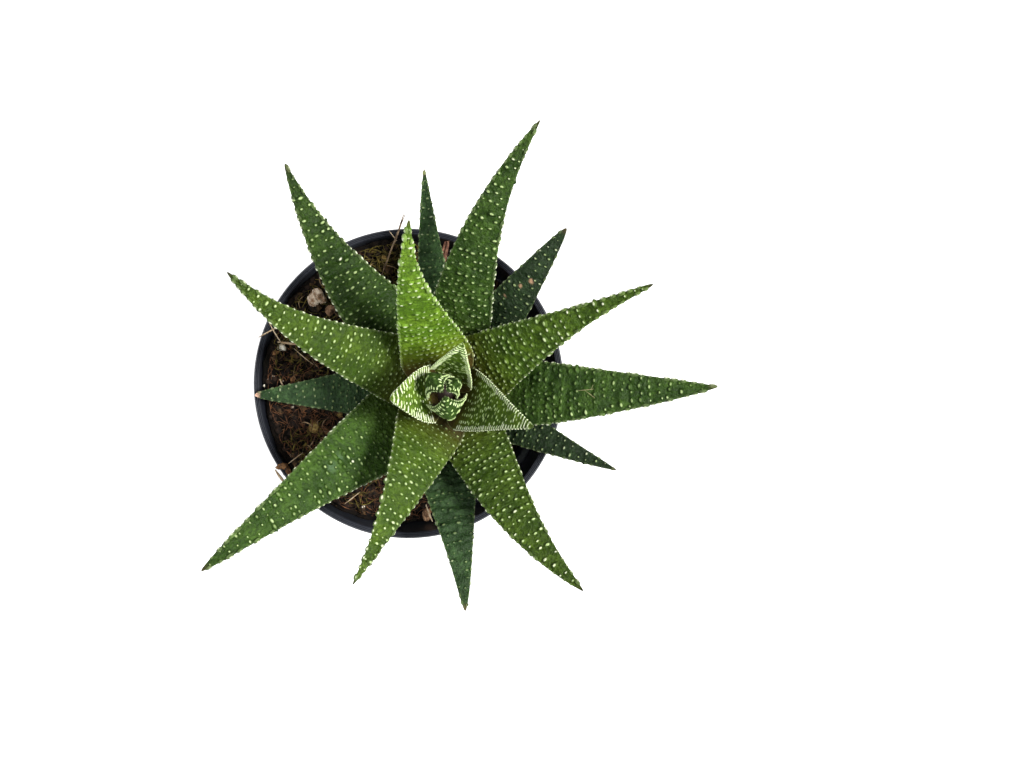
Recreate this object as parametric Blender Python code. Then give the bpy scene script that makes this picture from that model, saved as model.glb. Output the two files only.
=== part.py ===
"""A potted haworthia: a rosette of keeled leaves on a short stem, in soil, in a thin plastic nursery pot.

Run with blender --background --python part.py, or from Blender's text editor.
The frame has its origin at the centre of the pot's underside, with +Z up. Sizes below are in millimetres.
"""

import math
from typing import NamedTuple

import bmesh
import bpy
import numpy as np
from mathutils import Matrix, Vector
from mathutils.bvhtree import BVHTree

MM = 0.001
GAP = 0.3  # clearance between pieces that touch

# Pot: a tapered body, a ledge that the stack of empty pots rests on, a wider collar and a flat lip.
POT_HEIGHT = 72.0
LIP_RADIUS = 42.5
LIP_WIDTH = 1.8
LIP_DROP = 2.2
WALL = 1.0
COLLAR_DEPTH = 14.5
COLLAR_DRAFT = 1.3
LEDGE_WIDTH = 1.9
BASE_RADIUS = 29.5
HUB_RADIUS = 10.0
FOOT_WIDTH = 3.0
FOOT_HEIGHT = 1.2
DRAIN_HOLES = 6
DRAIN_RADIUS = 3.2
POT_SEGMENTS = 72

# Soil: a plug that stands high on one side of the pot and sinks away on the other.
SOIL_HIGH = 1.8  # below the lip, on the high side
SOIL_FALL = 16.5  # further down, on the low side
SOIL_FALL_AZIMUTH = -12.0
SOIL_BUMP = 0.7
SOIL_RINGS = 9
SOIL_SEGMENTS = 40

# Stones lying in the soil: name, place (x, y, z of the middle), half sizes, turn in degrees, colour.
STONES = (
    ("stone_1", (-25.3, 23.6, 71.6), (3.1, 2.5, 2.2), 50, (0.62, 0.46, 0.32)),
    ("stone_2", (-21.6, 20.2, 71.2), (1.9, 1.4, 1.3), 110, (0.33, 0.20, 0.11)),
    ("stone_3", (-34.8, 9.8, 71.0), (1.5, 1.2, 1.1), 20, (0.72, 0.68, 0.55)),
    ("stone_4", (4.7, -37.0, 63.6), (1.9, 1.3, 1.2), 80, (0.45, 0.31, 0.20)),
)
STONE_LUMPS = 0.12

# Stem: the short axis that carries the rosette, a little off the pot's centre.
STEM_X = 10.2
STEM_Y = -2.0
STEM_FOOT = 56.0
STEM_TOP = 90.0
STEM_FOOT_RADIUS = 5.5
STEM_TOP_RADIUS = 2.2

# Dead matter: the middle line of each piece, then half width and half thickness.
DRIED_LEAF_LINE = ((7.0, 27.5, 68.6), (8.3, 31.5, 71.0), (9.6, 35.5, 71.6), (10.4, 39.0, 70.9))
DRIED_LEAF_SIZE = (1.5, 0.5)
TWIG_LINE = ((-7.5, 30.0, 70.0), (-5.0, 35.5, 74.5), (-2.7, 40.5, 77.5), (-0.9, 45.0, 80.0))
TWIG_SIZE = (0.5, 0.5)

LEAF_STATIONS = 13
BASE_NARROWING = 0.45  # how much narrower a leaf is where it clasps the stem
BASE_THINNING = 0.45  # and how much thinner
UPPER_SWELL = 0.16  # share of the thickness above the middle surface
TIP_ROUNDING = 30  # exponent: the higher, the later the tip rounds off


class Leaf(NamedTuple):
    """One leaf: where it points, how it rises from the stem, and its blade."""

    name: str
    azimuth: float  # degrees from +X
    reach: float  # from the stem's axis to the tip, seen from above
    base_z: float
    tip_z: float
    rise: float  # slope where it leaves the stem, degrees
    tip_rise: float  # slope at the tip
    width: float
    thick: float
    full: float = 1.3  # exponent of the outline: 1 narrows from the base on, 3 stays wide past the middle
    taper: float = 1.0  # exponent of the outline towards the tip: the higher, the more drawn out
    sway: float = 0.0  # sideways bow of the middle, towards the leaf's left seen from the stem
    hook: float = 0.0  # the same, nearer the tip
    cup: float = 0.0  # how far the margins rise, as a share of the half width
    roll: float = 0.0  # lean of the blade at the base, degrees
    tip_roll: float = 0.0  # and at the tip
    blunt: float = 1.0  # below 1 the tip is cut short by that share
    root: float = 2.0  # from the stem's axis to where the leaf starts


# Youngest first. Each older leaf is trimmed where the younger ones press into it.
LEAVES = (
    Leaf("heart_leaf_1", 50, 1.2, 92.5, 109, 88, 100, 4.6, 2.2, 2.4, cup=0.2, root=0.8),
    Leaf("heart_leaf_2", 135, 2.4, 92, 110.5, 84, 98, 5.6, 2.8, 2.8, cup=0.3, root=1.0),
    Leaf("heart_leaf_3", 275, 3.4, 91.5, 110.5, 78, 90, 8, 3.2, 2.4, cup=0.4, root=1.0),
    Leaf("inner_leaf_1", 70, 12.4, 89, 118, 60, 66, 12, 4.0, 1.6, cup=0.3),
    Leaf("inner_leaf_2", 182, 13.0, 86, 114, 50, 78, 16, 4.4, 1.8, cup=0.4),
    Leaf("inner_leaf_3", 340, 21.5, 84, 119, 50, 52, 18, 4.6, 1.4, cup=0.15),
    Leaf("upper_leaf_1", 101.0, 38, 82, 131, 48, 48, 22, 4.8, 1.2, 1.3, hook=2.6),
    Leaf("upper_leaf_2", 244.4, 50.5, 80, 106, 44, -6, 22, 4.8, 1.1, 1.1, hook=1.0, tip_roll=-50),
    Leaf("upper_leaf_3", 27.8, 53.8, 78, 116, 42, 28, 24, 4.8, 1.1, 1.4, sway=1.4),
    Leaf("upper_leaf_4", 150.6, 58, 76, 114, 42, 25, 21, 4.8, 1.3, 1.15, hook=3.3),
    Leaf("upper_leaf_5", 305.2, 56.7, 74.5, 109, 42, 22, 19, 4.8, 1.5, 1.0, sway=-0.4, hook=-2.4),
    Leaf("middle_leaf_1", 70.7, 67, 73, 113, 40, 20, 19.5, 5.0, 1.5, 1.15, sway=2.4, hook=2.2),
    Leaf("middle_leaf_2", 216.1, 71, 71.5, 108, 36, 15, 27, 5.0, 1.0, 1.0, sway=-1.0),
    Leaf("middle_leaf_3", 1.3, 66.4, 70, 101, 36, 10, 20.5, 5.0, 1.6, 1.0, sway=-0.9),
    Leaf("middle_leaf_4", 124.8, 67.3, 68.5, 106, 36, 14, 24, 5.0, 1.5, 1.2, sway=1.6, hook=2.2),
    Leaf("lower_leaf_1", 275.3, 55, 67, 94, 34, 8, 25, 4.4, 1.0, 1.0, sway=-2.4, hook=1.8),
    Leaf("lower_leaf_2", 53.5, 52, 65.5, 90, 32, 8, 17, 4.4, 1.6, 1.0, blunt=0.97),
    Leaf("lower_leaf_3", 181.2, 50, 66, 75.5, 24, -8, 22, 3.0, 1.0, 1.0, sway=-0.2, blunt=0.97),
    Leaf("lower_leaf_4", 335.4, 49, 63.5, 85, 30, 6, 15, 3.6, 1.3, sway=-0.5),
    Leaf("lower_leaf_5", 95.4, 58, 62.5, 86, 30, 8, 15, 3.6, 1.2, hook=0.5),
)


def mesh_object(name, mesh, colour, roughness):
    """Links a mesh into the scene as one named object with its own plain material."""
    material = bpy.data.materials.new(name)
    material.use_nodes = True
    shader = material.node_tree.nodes["Principled BSDF"]
    shader.inputs["Base Color"].default_value = (*colour, 1.0)
    shader.inputs["Roughness"].default_value = roughness
    shader.inputs["Metallic"].default_value = 0.0
    mesh.materials.append(material)
    item = bpy.data.objects.new(name, mesh)
    bpy.context.scene.collection.objects.link(item)
    return item


def cutter_object(name, mesh):
    """A helper that only cuts, and isn't part of the object."""
    item = bpy.data.objects.new(name, mesh)
    bpy.context.scene.collection.objects.link(item)
    item.display_type = "WIRE"
    item.hide_render = True
    return item


def boolean(item, other, operation="DIFFERENCE"):
    modifier = item.modifiers.new(other.name, "BOOLEAN")
    modifier.operation = operation
    modifier.object = other
    modifier.solver = "EXACT"


def finish(name, work, smooth_angle=40.0):
    """Turns a bmesh in millimetres into a mesh in metres with outward faces."""
    bmesh.ops.scale(work, vec=(MM, MM, MM), verts=work.verts)
    bmesh.ops.recalc_face_normals(work, faces=work.faces)
    mesh = bpy.data.meshes.new(name)
    work.to_mesh(mesh)
    work.free()
    mesh.shade_smooth()
    mesh.set_sharp_from_angle(angle=math.radians(smooth_angle))
    return mesh


def turned(name, profile, segments):
    """Spins a profile of (radius, height) points, from the axis and back to it, into a closed solid."""
    work = bmesh.new()
    verts = [work.verts.new((r, 0.0, z)) for r, z in profile]
    edges = [work.edges.new(pair) for pair in zip(verts, verts[1:])]
    bmesh.ops.spin(
        work,
        geom=verts + edges,
        cent=(0, 0, 0),
        axis=(0, 0, 1),
        angle=2 * math.pi,
        steps=segments,
        use_merge=True,
    )
    bmesh.ops.remove_doubles(work, verts=work.verts, dist=1e-4)
    return finish(name, work)


def lofted(name, rings, first=None, last=None):
    """Skins closed rings of points in order. Each end closes on a point, or flat where none is given."""
    work = bmesh.new()
    loops = [[work.verts.new(p) for p in ring] for ring in rings]
    count = len(loops[0])
    for a, b in zip(loops, loops[1:]):
        for i in range(count):
            j = (i + 1) % count
            work.faces.new((a[i], a[j], b[j], b[i]))
    for loop, end in ((loops[0], first), (loops[-1], last)):
        if end is None:
            work.faces.new(loop)
            continue
        point = work.verts.new(end)
        for i in range(count):
            work.faces.new((loop[i], loop[(i + 1) % count], point))
    return finish(name, work)


# ---- pot ----


def ledge_z():
    return POT_HEIGHT - COLLAR_DEPTH


def collar_radius(z):
    """Inside of the collar, which widens from the ledge to the lip."""
    share = (z - ledge_z()) / COLLAR_DEPTH
    return LIP_RADIUS - LIP_WIDTH - COLLAR_DRAFT * (1 - share)


def body_radius(z):
    """Inside of the tapered body below the ledge."""
    top = collar_radius(ledge_z()) - LEDGE_WIDTH
    floor = BASE_RADIUS - WALL
    return floor + (top - floor) * (z / ledge_z())


def pot_profile():
    top, ledge = POT_HEIGHT, ledge_z()
    floor = FOOT_HEIGHT + WALL
    lip_foot = top - LIP_DROP
    outside = [
        (0, 0),
        (HUB_RADIUS, 0),
        (HUB_RADIUS + FOOT_HEIGHT, FOOT_HEIGHT),
        (BASE_RADIUS - FOOT_WIDTH - FOOT_HEIGHT, FOOT_HEIGHT),
        (BASE_RADIUS - FOOT_WIDTH, 0),
        (BASE_RADIUS - 0.5, 0),
        (BASE_RADIUS, 0.6),
        (body_radius(ledge) + WALL, ledge - WALL),
        (collar_radius(ledge) + WALL, ledge - WALL),
        (collar_radius(lip_foot) + WALL, lip_foot),
        (LIP_RADIUS - 0.3, lip_foot),
        (LIP_RADIUS, lip_foot + 0.4),
        (LIP_RADIUS, top - 0.7),
        (LIP_RADIUS - 0.5, top),
    ]
    inside = [
        (collar_radius(top), top),
        (collar_radius(ledge), ledge),
        (body_radius(ledge), ledge),
        (body_radius(floor), floor),
        (0, floor),
    ]
    return outside + inside


def make_pot():
    pot = mesh_object("pot", turned("pot", pot_profile(), POT_SEGMENTS), (0.028, 0.031, 0.038), 0.42)
    ring = (HUB_RADIUS + BASE_RADIUS - FOOT_WIDTH) / 2
    for i in range(DRAIN_HOLES):
        angle = 2 * math.pi * i / DRAIN_HOLES
        work = bmesh.new()
        bmesh.ops.create_cone(
            work,
            cap_ends=True,
            segments=16,
            radius1=DRAIN_RADIUS,
            radius2=DRAIN_RADIUS,
            depth=6 * WALL,
            matrix=Matrix.Translation((ring * math.cos(angle), ring * math.sin(angle), FOOT_HEIGHT)),
        )
        boolean(pot, cutter_object(f"drain_cutter_{i + 1}", finish("drain_cutter", work)))
    return pot


# ---- soil ----


def soil_height(x, y):
    """Top of the soil: a slope from the high side to the low side, with low mounds on it."""
    toward = math.radians(SOIL_FALL_AZIMUTH)
    along = (x * math.cos(toward) + y * math.sin(toward)) / LIP_RADIUS
    share = min(1.0, max(0.0, (along + 0.55) / 1.5))
    fall = SOIL_FALL * share * share * (3 - 2 * share)
    mounds = math.sin(0.31 * x + 1.0) * math.sin(0.27 * y + 0.4) + 0.5 * math.sin(0.55 * x - 0.4 * y)
    return POT_HEIGHT - SOIL_HIGH - fall + SOIL_BUMP * (mounds - 0.6)


def soil_plug():
    """The inside of the pot, with a gap to its wall, up to above the lip."""
    floor = FOOT_HEIGHT + WALL + GAP
    ledge = ledge_z()
    above = POT_HEIGHT + 2
    profile = [
        (0, floor),
        (body_radius(floor) - GAP, floor),
        (body_radius(ledge) - GAP, ledge),
        (body_radius(ledge) - GAP, ledge + GAP),
        (collar_radius(ledge) - GAP, ledge + GAP),
        (collar_radius(POT_HEIGHT) - GAP, POT_HEIGHT),
        (collar_radius(POT_HEIGHT) - GAP, above),
        (0, above),
    ]
    return turned("soil", profile, SOIL_SEGMENTS)


def soil_relief():
    """Everything below the soil's surface, as a solid wider than the pot."""
    rings = []
    for i in range(SOIL_RINGS, 0, -1):
        radius = (LIP_RADIUS + 3) * (i / SOIL_RINGS) ** 0.8
        ring = []
        for k in range(SOIL_SEGMENTS):
            angle = 2 * math.pi * (k + 0.5) / SOIL_SEGMENTS
            x, y = radius * math.cos(angle), radius * math.sin(angle)
            ring.append((x, y, soil_height(x, y)))
        rings.append(ring)
    below = [(x, y, -5.0) for x, y, z in rings[0]]
    return lofted("soil_relief", [below] + rings, last=(0, 0, soil_height(0, 0)))


def make_soil(buried):
    soil = mesh_object("soil", soil_plug(), (0.045, 0.026, 0.014), 0.95)
    relief = cutter_object("soil_relief", soil_relief())
    boolean(soil, relief, "INTERSECT")
    for cutter in buried:
        if touching(relief.data, cutter.data):
            boolean(soil, cutter)
    return soil


# ---- stem ----


def stem_mesh(name, grow):
    """The stem's taper, or the same grown by a gap to cut what surrounds it."""
    heights = np.linspace(STEM_FOOT - grow, STEM_TOP + grow, 6)
    rings = []
    for z in heights:
        share = (z - STEM_FOOT) / (STEM_TOP - STEM_FOOT)
        radius = STEM_FOOT_RADIUS + (STEM_TOP_RADIUS - STEM_FOOT_RADIUS) * share + grow
        rings.append(
            [
                (STEM_X + radius * math.cos(a), STEM_Y + radius * math.sin(a), z)
                for a in np.linspace(0, 2 * math.pi, 20, endpoint=False)
            ]
        )
    return lofted(name, rings)


# ---- leaves ----


def leaf_line(leaf, s):
    """The leaf's middle line at s from 0 at the stem to 1 at the tip."""
    turn = math.radians(leaf.azimuth)
    out = Vector((math.cos(turn), math.sin(turn), 0))
    side = Vector((-out.y, out.x, 0))
    axis = Vector((STEM_X, STEM_Y, 0))
    start = axis + out * leaf.root + Vector((0, 0, leaf.base_z))
    end = axis + out * leaf.reach + Vector((0, 0, leaf.tip_z))
    handle = 0.38 * (end - start).length
    lift, droop = math.radians(leaf.rise), math.radians(leaf.tip_rise)
    near = start + handle * (out * math.cos(lift) + Vector((0, 0, math.sin(lift))))
    far = end - handle * (out * math.cos(droop) + Vector((0, 0, math.sin(droop))))
    t = 1 - s
    point = t**3 * start + 3 * t * t * s * near + 3 * t * s * s * far + s**3 * end
    return point + side * (4 * leaf.sway * s * t + 6.75 * leaf.hook * s * s * t)


def leaf_frame(leaf, s):
    """(sideways, upwards) unit vectors of the blade at s, square to the middle line."""
    step = 0.01
    along = (leaf_line(leaf, min(1, s + step)) - leaf_line(leaf, max(0, s - step))).normalized()
    turn = math.radians(leaf.azimuth)
    side = Vector((-math.sin(turn), math.cos(turn), 0))
    side = (side - along * side.dot(along)).normalized()
    up = along.cross(side)
    lean = Matrix.Rotation(math.radians(leaf.roll + (leaf.tip_roll - leaf.roll) * s), 3, along)
    return lean @ side, lean @ up


def blade_share(leaf, s):
    """Width at s as a share of the full width."""
    outline = (1 - (leaf.blunt * s) ** leaf.full) ** leaf.taper
    waist = 1 - BASE_NARROWING * max(0.0, 1 - 5 * s) ** 2
    return outline * waist * math.sqrt(max(0.0, 1 - s**TIP_ROUNDING))


def leaf_ring(leaf, s, grow):
    """The cross-section at s: a gently domed upper face and a deep, keeled lower face."""
    centre = leaf_line(leaf, s)
    side, up = leaf_frame(leaf, s)
    share = blade_share(leaf, s)
    half = leaf.width / 2 * share + 2 * grow
    deep = leaf.thick * share**0.75 * (1 - BASE_THINNING * max(0.0, 1 - 4 * s) ** 2) + grow
    top = UPPER_SWELL * deep + grow
    across_top = (-1.0, -0.55, 0.0, 0.55, 1.0)
    across_below = (0.72, 0.36, 0.0, -0.36, -0.72)
    points = []
    for u in across_top:
        lift = leaf.cup * half * u * u + top * (1 - u * u)
        points.append(centre + side * (half * u) + up * lift)
    for u in across_below:
        lift = leaf.cup * half * u * u - deep * (1 - abs(u) ** 1.4)
        points.append(centre + side * (half * u) + up * lift)
    return points


def leaf_mesh(leaf, name, grow=0.0):
    """The leaf as a closed solid, or grown by a gap to trim its neighbours."""
    stations = [i / LEAF_STATIONS for i in range(LEAF_STATIONS)] + [0.97]
    rings = [leaf_ring(leaf, s, grow) for s in stations]
    return lofted(name, rings, last=leaf_line(leaf, 1.0) + (leaf_line(leaf, 1.0) - leaf_line(leaf, 0.99)) * grow)


def touching(first, second):
    """Whether two meshes reach into each other."""
    trees = []
    for mesh in (first, second):
        work = bmesh.new()
        work.from_mesh(mesh)
        trees.append(BVHTree.FromBMesh(work))
        work.free()
    return bool(trees[0].overlap(trees[1]))


# ---- stones and dead matter ----


def stone_mesh(name, place, sizes, turn, grow=0.0):
    """A lumpy pebble, or the same grown by a gap to press its pocket into the soil."""
    work = bmesh.new()
    bmesh.ops.create_icosphere(work, subdivisions=2, radius=1.0)
    spin = Matrix.Rotation(math.radians(turn), 3, "Z")
    for vert in work.verts:
        x, y, z = vert.co
        lump = math.sin(3.1 * x + turn) * math.sin(2.7 * y + 1.3 * turn) + 0.6 * math.sin(5.3 * z + 4.1 * x)
        shape = vert.co.normalized() * (1 + STONE_LUMPS * lump)
        vert.co = Vector(place) + spin @ Vector(c * (size + grow) for c, size in zip(shape, sizes))
    return finish(name, work, 60.0)


def strip_mesh(name, line, size, sides=8, grow=0.0):
    """A thin tapering strip along a few points."""
    points = [Vector(p) for p in line]
    rings = []
    for i, point in enumerate(points):
        along = (points[min(i + 1, len(points) - 1)] - points[max(i - 1, 0)]).normalized()
        side = along.cross(Vector((0, 0, 1))).normalized()
        up = side.cross(along)
        share = 1 - 0.45 * i / (len(points) - 1)
        ring = []
        for k in range(sides):
            angle = 2 * math.pi * k / sides
            across = side * (math.cos(angle) * (size[0] * share + grow))
            ring.append(point + across + up * (math.sin(angle) * (size[1] * share + grow)))
        rings.append(ring)
    return lofted(name, rings)


def make_debris():
    """Stones, a dried leaf and a twig. Returns the cutters that keep the soil a gap away from them."""
    cutters = []
    for name, place, sizes, turn, colour in STONES:
        mesh_object(name, stone_mesh(name, place, sizes, turn), colour, 0.85)
        cutter = f"{name}_cutter"
        cutters.append(cutter_object(cutter, stone_mesh(cutter, place, sizes, turn, GAP)))
    for name, line, size, colour in (
        ("dried_leaf", DRIED_LEAF_LINE, DRIED_LEAF_SIZE, (0.19, 0.09, 0.05)),
        ("twig", TWIG_LINE, TWIG_SIZE, (0.20, 0.13, 0.08)),
    ):
        mesh_object(name, strip_mesh(name, line, size), colour, 0.85)
        cutter = f"{name}_cutter"
        cutters.append(cutter_object(cutter, strip_mesh(cutter, line, size, grow=GAP)))
    return cutters


def leaf_colour(age):
    """Bright yellow-green in the heart, deep green on the oldest leaves. Age runs from 0 to 1."""
    young, old = Vector((0.16, 0.28, 0.035)), Vector((0.025, 0.085, 0.022))
    return tuple(young.lerp(old, age))


def make_leaves(stem_cutter):
    """Returns the cutters that keep other pieces a gap away from the leaves."""
    younger = []
    for i, leaf in enumerate(LEAVES):
        mesh = leaf_mesh(leaf, leaf.name)
        item = mesh_object(leaf.name, mesh, leaf_colour(i / (len(LEAVES) - 1)), 0.45)
        boolean(item, stem_cutter)
        for cutter in younger:
            if touching(mesh, cutter.data):
                boolean(item, cutter)
        younger.append(cutter_object(f"{leaf.name}_cutter", leaf_mesh(leaf, f"{leaf.name}_cutter", GAP)))
    return younger


def main():
    for item in list(bpy.data.objects):
        bpy.data.objects.remove(item)
    make_pot()
    mesh_object("stem", stem_mesh("stem", 0.0), (0.20, 0.22, 0.07), 0.6)
    stem_cutter = cutter_object("stem_cutter", stem_mesh("stem_cutter", GAP))
    leaf_cutters = make_leaves(stem_cutter)
    debris_cutters = make_debris()
    make_soil([stem_cutter, *leaf_cutters, *debris_cutters])


main()
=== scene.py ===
"""Looks for the potted haworthia: studded leaves, stem, soil with its litter, stones and nursery pot."""

import math
from typing import NamedTuple

import bmesh
import bpy
import numpy as np
from mathutils import Matrix, Vector


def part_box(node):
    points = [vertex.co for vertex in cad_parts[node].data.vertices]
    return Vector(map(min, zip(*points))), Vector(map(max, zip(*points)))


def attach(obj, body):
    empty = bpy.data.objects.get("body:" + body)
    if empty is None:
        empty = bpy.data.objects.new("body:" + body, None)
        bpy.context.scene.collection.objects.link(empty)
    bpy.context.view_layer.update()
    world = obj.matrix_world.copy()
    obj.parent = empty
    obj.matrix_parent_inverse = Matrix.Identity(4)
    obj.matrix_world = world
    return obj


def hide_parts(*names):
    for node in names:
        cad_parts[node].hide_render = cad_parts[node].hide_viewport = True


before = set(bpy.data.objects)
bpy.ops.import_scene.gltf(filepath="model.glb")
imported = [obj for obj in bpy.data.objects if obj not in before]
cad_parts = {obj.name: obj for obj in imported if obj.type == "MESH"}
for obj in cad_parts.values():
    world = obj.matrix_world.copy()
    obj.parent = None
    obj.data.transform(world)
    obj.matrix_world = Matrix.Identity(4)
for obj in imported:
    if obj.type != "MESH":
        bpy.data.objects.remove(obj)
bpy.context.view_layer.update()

MM = 0.001


# ---- the plant's own sizes, in millimetres ----

STEM_X, STEM_Y = 10.2, -2.0
BASE_NARROWING = 0.45
BASE_THINNING = 0.45
UPPER_SWELL = 0.16
TIP_ROUNDING = 30


class Leaf(NamedTuple):
    """One leaf: where it points, how it rises from the stem, its blade, and its finish."""

    name: str
    azimuth: float
    reach: float
    base_z: float
    tip_z: float
    rise: float
    tip_rise: float
    width: float
    thick: float
    full: float = 1.3
    taper: float = 1.0
    sway: float = 0.0
    hook: float = 0.0
    cup: float = 0.0
    tip_roll: float = 0.0
    blunt: float = 1.0
    root: float = 2.0


LEAVES = (
    Leaf("heart_leaf_1", 42, 0.7, 97, 109.5, 92, 140, 6.6, 3.0, 2.1, cup=0.3, root=2.0),
    Leaf("heart_leaf_2", 130, 0.4, 96, 110, 90, 165, 9.0, 3.4, 1.9, cup=0.3, root=2.6),
    Leaf("heart_leaf_3", 283, 0.4, 95, 109.5, 88, 165, 11, 3.7, 1.9, cup=0.3, root=2.8),
    Leaf("inner_leaf_1", 70, 12.4, 89, 118, 60, 66, 12.5, 4.0, 1.7, cup=0.3),
    Leaf("inner_leaf_2", 185, 12.8, 95, 110.5, 46, 44, 14.5, 4.4, 2.5, cup=0.22),
    Leaf("inner_leaf_3", 340, 21.5, 84, 119, 50, 52, 18, 4.6, 1.4, cup=0.15),
    Leaf("upper_leaf_1", 101.0, 38, 82, 131, 48, 48, 22, 4.8, 1.2, 1.3, hook=2.6),
    Leaf("upper_leaf_2", 244.4, 50.5, 80, 106, 44, -6, 22, 4.8, 1.1, 1.1, hook=1.0, tip_roll=-50),
    Leaf("upper_leaf_3", 27.8, 53.8, 78, 116, 42, 28, 24, 4.8, 1.1, 1.4, sway=1.4),
    Leaf("upper_leaf_4", 150.6, 57.2, 76, 114, 42, 25, 21, 4.8, 1.3, 1.15, hook=3.3),
    Leaf("upper_leaf_5", 305.2, 56.7, 74.5, 109, 42, 22, 19, 4.8, 1.5, 1.0, sway=-0.4, hook=-2.4),
    Leaf("middle_leaf_1", 70.7, 67, 73, 113, 40, 20, 19.5, 5.0, 1.5, 1.15, sway=2.4, hook=2.2),
    Leaf("middle_leaf_2", 216.1, 71, 71.5, 108, 36, 15, 27, 5.0, 1.0, 1.0, sway=-1.0),
    Leaf("middle_leaf_3", 1.3, 66.4, 70, 101, 36, 10, 20.5, 5.0, 1.6, 1.0, sway=-0.9),
    Leaf("middle_leaf_4", 124.8, 66.6, 68.5, 106, 36, 14, 24, 5.0, 1.5, 1.2, sway=1.6, hook=2.2),
    Leaf("lower_leaf_1", 275.3, 55, 67, 94, 34, 8, 25, 4.4, 1.0, 1.0, sway=-2.4, hook=1.8),
    Leaf("lower_leaf_2", 53.5, 52, 65.5, 90, 32, 8, 17, 4.4, 1.6, 1.0, blunt=0.97),
    Leaf("lower_leaf_3", 181.2, 51.6, 66, 75.5, 24, -8, 22, 3.0, 1.0, 1.0, sway=-0.2, blunt=0.97),
    Leaf("lower_leaf_4", 335.4, 49, 63.5, 85, 30, 6, 15, 3.6, 1.3, sway=-0.5),
    Leaf("lower_leaf_5", 95.4, 58, 62.5, 86, 30, 8, 15, 3.6, 1.2, hook=0.5),
)


# ---- meshes and small helpers ----


def new_mesh(name, verts, faces, smooth=True, **floats):
    """A mesh from points in millimetres, with named float values on its points."""
    mesh = bpy.data.meshes.new(name)
    mesh.from_pydata((np.asarray(verts, float) * MM).tolist(), [], [list(f) for f in faces])
    for key, values in floats.items():
        mesh.attributes.new(key, "FLOAT", "POINT").data.foreach_set("value", np.asarray(values, np.float32))
    if smooth:
        mesh.shade_smooth()
    mesh.update()
    return mesh


def new_object(name, mesh):
    item = bpy.data.objects.new(name, mesh)
    bpy.context.scene.collection.objects.link(item)
    return item


def mesh_from(work, name):
    """A mesh from a bmesh that is done with."""
    mesh = bpy.data.meshes.new(name)
    work.to_mesh(mesh)
    work.free()
    return mesh


def outward(mesh):
    """Points every face of a closed mesh outwards."""
    work = bmesh.new()
    work.from_mesh(mesh)
    bmesh.ops.recalc_face_normals(work, faces=work.faces)
    work.to_mesh(mesh)
    work.free()
    return mesh


def loop_faces(rings, around, start=0):
    """Quads between consecutive closed rings of points."""
    faces = []
    for i in range(rings - 1):
        a, b = start + i * around, start + (i + 1) * around
        for k in range(around):
            n = (k + 1) % around
            faces.append((a + k, a + n, b + n, b + k))
    return faces


def settled(item):
    """Turns an object and its live modifiers into one plain mesh object, and removes the old one."""
    graph = bpy.context.evaluated_depsgraph_get()
    graph.update()
    mesh = bpy.data.meshes.new_from_object(item.evaluated_get(graph), depsgraph=graph)
    name = item.name
    bpy.data.objects.remove(item)
    mesh.name = name
    return new_object(name, mesh)


def placed(item, slot, *nodes):
    """Rides a finished piece on the pot's body, and hides the nodes that it stands for."""
    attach(item, "root")
    if nodes:
        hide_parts(*nodes)
    return item


def wavy(seed, wavelength, terms=9):
    """A smooth random height over any number of coordinates, between about -1 and 1."""
    rng = np.random.default_rng(seed)
    phase = rng.uniform(0, 2 * math.pi, terms)
    heading = rng.normal(size=(terms, 3))
    heading /= np.linalg.norm(heading, axis=1)[:, None]
    heading *= (2 * math.pi / wavelength) * rng.uniform(0.7, 1.5, terms)[:, None]

    def height(*axes):
        total = sum(
            np.sin(sum(h * np.asarray(axis) for h, axis in zip(head, axes)) + p)
            for head, p in zip(heading, phase)
        )
        return total / math.sqrt(terms) / 1.2

    return height


# ---- node tools ----


def add(tree, kind, sockets=None, **settings):
    """Adds a node, sets its options, and fills its sockets with links or values. A colour may leave out its alpha."""
    node = tree.nodes.new(kind)
    for key, value in settings.items():
        setattr(node, key, value)
    for key, value in (sockets or {}).items():
        socket = node.inputs[key]
        if isinstance(value, bpy.types.NodeSocket):
            tree.links.new(value, socket)
        else:
            socket.default_value = (*value, 1.0) if socket.type == "RGBA" and len(value) == 3 else value
    return node


def add_mix(tree, factor, a, b, blend="MIX"):
    """Mixes two colours."""
    return add(tree, "ShaderNodeMix", {0: factor, 6: a, 7: b}, data_type="RGBA", blend_type=blend).outputs[2]


def add_times(tree, a, b):
    return add(tree, "ShaderNodeMath", {0: a, 1: b}, operation="MULTIPLY").outputs[0]


def add_range(tree, value, low, high, to_low=0.0, to_high=1.0):
    """Turns a value between low and high into one between to_low and to_high, with soft ends."""
    sockets = {0: value, 1: low, 2: high, 3: to_low, 4: to_high}
    return add(tree, "ShaderNodeMapRange", sockets, interpolation_type="SMOOTHSTEP").outputs[0]


def add_noise(tree, place, scale, detail=3.0, rough=0.55, distortion=0.0):
    sockets = {"Vector": place, "Scale": scale, "Detail": detail, "Roughness": rough, "Distortion": distortion}
    return add(tree, "ShaderNodeTexNoise", sockets).outputs["Fac"]


def add_attribute(tree, name):
    return add(tree, "ShaderNodeAttribute", attribute_name=name).outputs["Fac"]


def start_material(name, roughness, **shader_values):
    """A material with its tree, its shader, and the object's own coordinates."""
    material = bpy.data.materials.new(name)
    material.use_nodes = True
    tree = material.node_tree
    shader = tree.nodes["Principled BSDF"]
    shader.inputs["Roughness"].default_value = roughness
    for key, value in shader_values.items():
        shader.inputs[key.replace("_", " ")].default_value = value
    place = add(tree, "ShaderNodeTexCoord").outputs["Object"]
    return material, tree, shader, place


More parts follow.
